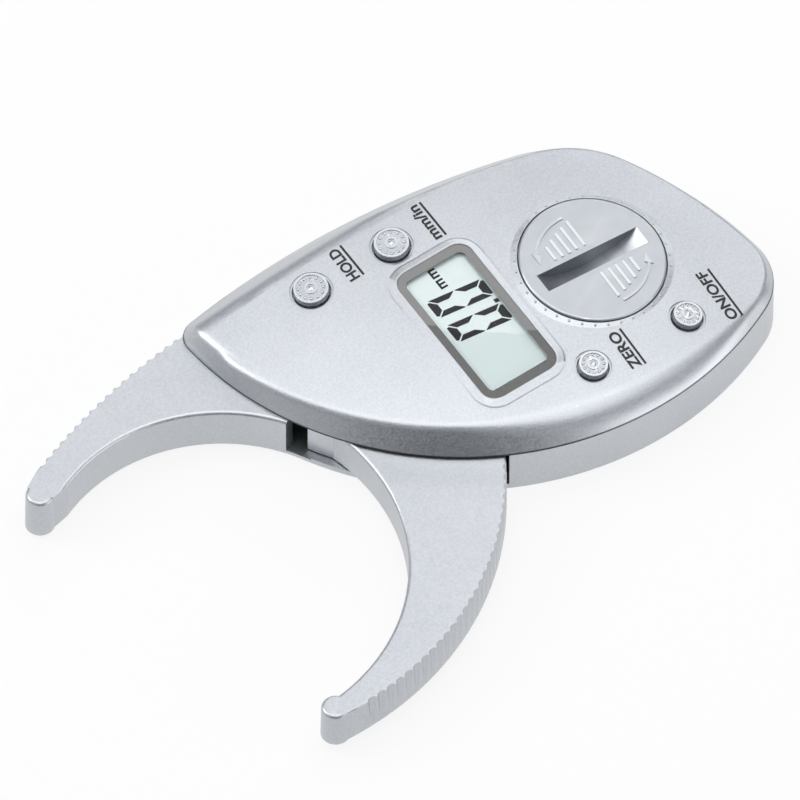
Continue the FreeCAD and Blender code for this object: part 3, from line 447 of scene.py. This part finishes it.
def polished(name, grain, tones, rough, coat=1.0, **values):
    """Printed or cell texture under a polished clear face."""
    n = Nodes(name)
    tone = n.mix(n.range(n.noise(*grain), 0.0, 1.0), *tones)
    return n.set(Base_Color=tone, Roughness=rough, Coat_Weight=coat, Coat_Roughness=0.0,
                 Coat_IOR=POLISH_IOR, **values)


def board():
    """Green laminate with a woven texture."""
    n = Nodes("board_laminate")
    scale, distortion = BOARD_WEAVE
    weave = n.add("ShaderNodeTexWave", Vector=n.place, Scale=scale, Distortion=distortion).outputs["Fac"]
    return n.set(Base_Color=n.mix(weave, *BOARD_TONES), Roughness=BOARD_ROUGH,
                 Normal=n.bump(weave, *BOARD_BUMP))


MATERIALS = {
    "silver_paint": silver_paint(),
    "button_paint": smooth_paint("button_paint", BUTTON_ROUGH),
    "cover_paint": smooth_paint("cover_paint", COVER_ROUGH, paint_slot_shade=True),
    "clear_lens": lens(),
    "mask_print": polished("mask_print", PLASTIC_GRAIN, MASK_TONES, PRINT_ROUGH),
    "lcd_glass": polished("lcd_glass", LCD_CELLS, LCD_TONES, LCD_ROUGH),
    "seal_rubber": plastic("seal_rubber", (0.02, 0.02, 0.02), 0.6),
    "cell_steel": metal("cell_steel", (0.62, 0.62, 0.62), 0.25),
    "contact_steel": metal("contact_steel", (0.62, 0.6, 0.55), 0.25),
    "pin_steel": metal("pin_steel", (0.5, 0.51, 0.53), 0.25),
    "washer_plastic": plastic("washer_plastic", (0.8, 0.8, 0.76), 0.5),
    "spring_steel": metal("spring_steel", (0.4, 0.4, 0.42), 0.3),
    "code_plastic": plastic("code_plastic", (0.02, 0.02, 0.022), 0.2),
    "sensor_plastic": plastic("sensor_plastic", (0.012, 0.012, 0.014), 0.45),
    "board_laminate": board(),
    "blob_resin": plastic("blob_resin", (0.01, 0.01, 0.01), 0.15),
    "ribbon_film": plastic("ribbon_film", (0.55, 0.25, 0.04), 0.3),
    "switch_metal": metal("switch_metal", (0.6, 0.6, 0.57), 0.3),
    "screw_steel": metal("screw_steel", (0.45, 0.46, 0.48), 0.3),
}
ROOF_PAINT = roof_paint()
INK = plastic("label_ink", (0.012, 0.012, 0.014), 0.5)
SEGMENT_INK = polished("segment_ink", PLASTIC_GRAIN, SEGMENT_TONES, PRINT_ROUGH, SEGMENT_COAT,
                       Specular_IOR_Level=SEGMENT_SPECULAR)


def dress_nodes():
    for entry in frame["record"]["subparts"]:
        mesh = NODES[entry["node"]].data
        mesh.materials.clear()
        mesh.materials.append(MATERIALS[entry["material_slot"]])
    NODES["upper_case"].data.materials[0] = ROOF_PAINT


# ---------------------------------------------------------------- printed marks

def add_piece(name, mesh, material):
    piece = bpy.data.objects.new(name, mesh)
    bpy.context.scene.collection.objects.link(piece)
    mesh.materials.append(material)
    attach(piece, "case")


def new_mesh(name, points, faces):
    mesh = bpy.data.meshes.new(name)
    mesh.from_pydata(points, [], faces)
    mesh.update()
    return mesh


# Segments of a digit in mm: x along the reading direction, y up
DIGIT_W = 4.0
DIGIT_H = 10.9
DIGIT_PITCH = 5.95
DIGIT_FOOT = (-6.02, 2.11)
LEVEL_T = 1.5
LEVEL_FOOT = 0.5
LEVEL_CORNER = (0.33, 0.43)
LEVEL_INNER = 1.3
UPRIGHT_T = 1.12
UPRIGHT_FOOT = 0.45
UPRIGHT_SHOULDER = 1.66
WAIST_TAPER = 1.45
WAIST_GAP = 0.1
SLANT = 0.13
POINT_AT = 4.3
POINT_SIZE = 0.85
UNIT_AT = (11.23, 5.65)
UNIT_WIDTH = 2.05
UNIT_HEIGHT = 1.45
UNIT_STROKE = 0.42
DISPLAY_INK_RISE = 0.012


def mirrored(outline, flip_x, flip_y):
    """The outline flipped within the digit's box, still running the same way round."""
    points = [(DIGIT_W - x if flip_x else x, DIGIT_H - y if flip_y else y) for x, y in outline]
    return points[::-1] if flip_x != flip_y else points


def zero_digit(start):
    """Six segments of a zero whose left edge is at start: mitred corners, tips meeting halfway up."""
    level = [(LEVEL_FOOT, 0), (DIGIT_W - LEVEL_FOOT, 0), (DIGIT_W - LEVEL_CORNER[0], LEVEL_CORNER[1]),
             (DIGIT_W - LEVEL_INNER, LEVEL_T), (LEVEL_INNER, LEVEL_T), LEVEL_CORNER]
    waist = DIGIT_H / 2 - WAIST_GAP
    upright = [(0, UPRIGHT_FOOT), (UPRIGHT_T, UPRIGHT_SHOULDER), (UPRIGHT_T, waist - WAIST_TAPER),
               (WAIST_GAP, waist), (0, waist - WAIST_GAP)]
    outlines = []
    for flip_y in (False, True):
        outlines.append(mirrored(level, False, flip_y))
        outlines.append(mirrored(upright, False, flip_y))
        outlines.append(mirrored(upright, True, flip_y))
    return [[(start + x, y) for x, y in outline] for outline in outlines]


def block(x, y, width, height):
    return [(x, y), (x + width, y), (x + width, y + height), (x, y + height)]


def letter_m(start, foot):
    """Small m of the unit, upright: three legs under a bar."""
    leg_height = UNIT_HEIGHT - UNIT_STROKE
    leg_pitch = (UNIT_WIDTH - UNIT_STROKE) / 2
    legs = [block(start + i * leg_pitch, foot, UNIT_STROKE, leg_height) for i in range(3)]
    return legs + [block(start, foot + leg_height, UNIT_WIDTH, UNIT_STROKE)]


def slanted(outline):
    return [(x + SLANT * (y - DIGIT_H / 2), y) for x, y in outline]


def display_marks():
    """The reading, slanted like a segment display, under the clear window."""
    digits = zero_digit(0.0) + zero_digit(DIGIT_PITCH) + [block(POINT_AT, 0, POINT_SIZE, POINT_SIZE)]
    marks = [slanted(outline) for outline in digits]
    unit_x, unit_y = UNIT_AT
    for start in (unit_x, unit_x + UNIT_WIDTH + UNIT_STROKE):
        marks += letter_m(start, unit_y)
    foot = display_matrix() @ Matrix.Translation((*DIGIT_FOOT, LCD_TOP + DISPLAY_INK_RISE))
    points, faces = [], []
    for outline in marks:
        faces.append(range(len(points), len(points) + len(outline)))
        points += [placed(*(foot @ Vector((y, -x, 0)))) for x, y in outline]
    add_piece("display_marks", new_mesh("display_marks", points, faces), SEGMENT_INK)


# Labels: name, text, start of the underline (larger Y), its length and its X
LABELS = (
    ("label_hold", "HOLD", -20.14, 7.5, 10.44),
    ("label_unit", "mm/in", -18.87, 8.4, -5.97),
    ("label_zero", "ZERO", 21.5, 8.2, -20.8),
    ("label_power", "ON/OFF", 21.01, 10.9, -41.47),
)
LABEL_HEIGHT = 2.0
LABEL_GAP = 0.75
LABEL_LINE = 0.42
LABEL_WEIGHT = 0.032
LABEL_CURVE_STEPS = 6
LABEL_RISE = 0.02
LINE_CELL = 0.35


def text_mesh(name, words):
    curve = bpy.data.curves.new(name, "FONT")
    curve.body = words
    curve.offset = LABEL_WEIGHT
    curve.resolution_u = LABEL_CURVE_STEPS
    holder = bpy.data.objects.new(name + "_shape", curve)
    bpy.context.scene.collection.objects.link(holder)
    graph = bpy.context.evaluated_depsgraph_get()
    mesh = bpy.data.meshes.new_from_object(holder.evaluated_get(graph))
    bpy.data.objects.remove(holder)
    return mesh


def letters(name, words, length):
    """Letters as spots along and above the line, stretched to its length, with their faces."""
    mesh = text_mesh(name, words)
    xs = [v.co.x for v in mesh.vertices]
    width = max(xs) - min(xs)
    tall = max(v.co.y for v in mesh.vertices)
    spots = [((v.co.x - min(xs)) / width * length, LABEL_GAP + v.co.y / tall * LABEL_HEIGHT)
             for v in mesh.vertices]
    return spots, [tuple(face.vertices) for face in mesh.polygons]


def underline(length):
    """A strip in short cells that can follow the crown."""
    cells = int(length / LINE_CELL)
    spots = [(i * length / cells, up) for i in range(cells + 1) for up in (-LABEL_LINE / 2, LABEL_LINE / 2)]
    return spots, [(2 * i, 2 * i + 1, 2 * i + 3, 2 * i + 2) for i in range(cells)]


def label(name, words, start, length, line_x):
    """Letters and an underline, laid on the crown and read towards -Y."""
    spots, faces = letters(name, words, length)
    line_spots, line_faces = underline(length)
    faces += [tuple(len(spots) + corner for corner in face) for face in line_faces]
    plan = [(line_x + up, start - along) for along, up in spots + line_spots]
    points = [placed(x, y, crown_height(x, y) + LABEL_RISE) for x, y in plan]
    add_piece(name, new_mesh(name, points, faces), INK)


# ---------------------------------------------------------------- stage

FLOOR_COLOUR = (0.78, 0.78, 0.78)
FLOOR_ROUGH = 0.9
FLOOR_GLOW = 0.86
FLOOR_HALF = 3.0
FLOOR_Z = -0.0002
WHITE = (1.0, 1.0, 1.0)

HORIZON = (0.45, 0.46, 0.48)
ZENITH = (0.36, 0.37, 0.39)
DOME_STOPS = (0.0, 0.8)


def stage_material():
    """White to the camera and in reflections, but still catching the shadow."""
    n = Nodes("stage_white")
    n.set(Base_Color=FLOOR_COLOUR, Roughness=FLOOR_ROUGH)
    path = n.add("ShaderNodeLightPath").outputs
    direct = n.math("ADD", path["Is Camera Ray"], path["Is Transmission Ray"], clamp=True)
    seen = n.math("ADD", direct, path["Is Glossy Ray"], clamp=True)
    glow = n.add("ShaderNodeEmission", Color=WHITE, Strength=1.0)
    shares = (n.math("MULTIPLY", seen, FLOOR_GLOW), n.bsdf.outputs[0], glow.outputs[0])
    surface = n.filled(n.add("ShaderNodeMixShader"), shares)
    n.put(n.tree.nodes["Material Output"].inputs["Surface"], surface)
    return n.material


def floor():
    corners = [(x * FLOOR_HALF, y * FLOOR_HALF, FLOOR_Z) for x, y in ((-1, -1), (1, -1), (1, 1), (-1, 1))]
    piece = bpy.data.objects.new("floor", new_mesh("floor", corners, [(0, 1, 2, 3)]))
    bpy.context.scene.collection.objects.link(piece)
    piece.data.materials.append(stage_material())


def world_light():
    """Studio dome: a little brighter towards the horizon."""
    world = bpy.data.worlds.new("studio")
    bpy.context.scene.world = world
    world.use_nodes = True
    tree = world.node_tree
    dome = tree.nodes["Background"]
    place = tree.nodes.new("ShaderNodeTexCoord")
    split = tree.nodes.new("ShaderNodeSeparateXYZ")
    ramp = tree.nodes.new("ShaderNodeValToRGB")
    for element, stop, colour in zip(ramp.color_ramp.elements, DOME_STOPS, (HORIZON, ZENITH)):
        element.position = stop
        element.color = colour + (1,)
    tree.links.new(place.outputs["Generated"], split.inputs[0])
    tree.links.new(split.outputs["Z"], ramp.inputs[0])
    tree.links.new(ramp.outputs[0], dome.inputs["Color"])
    dome.inputs["Strength"].default_value = 1.0


# Softboxes: azimuth, elevation, width and height in metres, brightness of the face
SOFTBOXES = {
    "key": (234.0, 55.97, (1.1, 0.195), 1.2),
    "overhead": (150.0, 88.5, (0.8, 1.05), 1.7),
    "side": (122.0, 14.0, (0.8, 0.4), 2.1),
    "rim": (220.0, 31.0, (0.9, 0.14), 3.6),
    "fill": (321.0, 38.0, (0.45, 0.5), 4.0),
}
LIGHT_DISTANCE = 0.9
LIGHT_TARGET_PLAN = (0, 0, 17)
FLAG_AZIMUTH = 54.0
FLAG_DISTANCE = 0.55
FLAG_WIDTH = 0.62
FLAG_FOOT = 0.01
FLAG_HEIGHT = 0.26
FLAG_CLOTH = (0.02, 0.02, 0.022)
FLAG_ROUGH = 0.9


def aim(azimuth, elevation):
    a, e = math.radians(azimuth), math.radians(elevation)
    return Vector((math.cos(a) * math.cos(e), math.sin(a) * math.cos(e), math.sin(e)))


def softbox(name, way, size, brightness):
    lamp = bpy.data.lights.new(name, "AREA")
    lamp.shape = "RECTANGLE"
    lamp.size, lamp.size_y = size
    lamp.energy = brightness * math.pi * size[0] * size[1]
    rig = bpy.data.objects.new(name, lamp)
    bpy.context.scene.collection.objects.link(rig)
    rig.location = placed(*LIGHT_TARGET_PLAN) + way * LIGHT_DISTANCE
    rig.rotation_mode = "QUATERNION"
    rig.rotation_quaternion = way.to_track_quat("Z", "Y")


def flag():
    """Dark card low on the camera's side, which keeps the near bevels grey."""
    way = aim(FLAG_AZIMUTH, 0)
    side = Vector((-way.y, way.x, 0)) * FLAG_WIDTH / 2
    base = way * FLAG_DISTANCE
    low, high = Vector((0, 0, FLAG_FOOT)), Vector((0, 0, FLAG_HEIGHT))
    corners = [base - side + low, base + side + low, base + side + high, base - side + high]
    card = bpy.data.objects.new("flag", new_mesh("flag", corners, [(0, 1, 2, 3)]))
    bpy.context.scene.collection.objects.link(card)
    card.data.materials.append(Nodes("flag_cloth").set(Base_Color=FLAG_CLOTH, Roughness=FLAG_ROUGH))
    card.visible_camera = False


TO_CAMERA = Vector((0.321, 0.481, 0.816)).normalized()
CAMERA_DISTANCE = 6.0
CAMERA_CLIP = (0.01, 20.0)
PIXELS_PER_MM = 5.754
IMAGE_PX = 800
SENSOR_MM = 36.0
TARGET_PLAN = (20.14, 5.75, 18.0)


def camera():
    data = bpy.data.cameras.new("camera")
    data.sensor_width = SENSOR_MM
    data.lens = SENSOR_MM * PIXELS_PER_MM * CAMERA_DISTANCE / MM / IMAGE_PX
    data.clip_start, data.clip_end = CAMERA_CLIP
    rig = bpy.data.objects.new("camera", data)
    bpy.context.scene.collection.objects.link(rig)
    rig.location = placed(*TARGET_PLAN) + TO_CAMERA * CAMERA_DISTANCE
    rig.rotation_euler = TO_CAMERA.to_track_quat("Z", "Y").to_euler()
    bpy.context.scene.camera = rig


# ---------------------------------------------------------------- scene

dress_nodes()
display_marks()
for entry in LABELS:
    label(*entry)
floor()
world_light()
for name, (azimuth, elevation, size, brightness) in SOFTBOXES.items():
    softbox(name, aim(azimuth, elevation), size, brightness)
flag()
camera()
bpy.context.scene.view_settings.view_transform = "Standard"
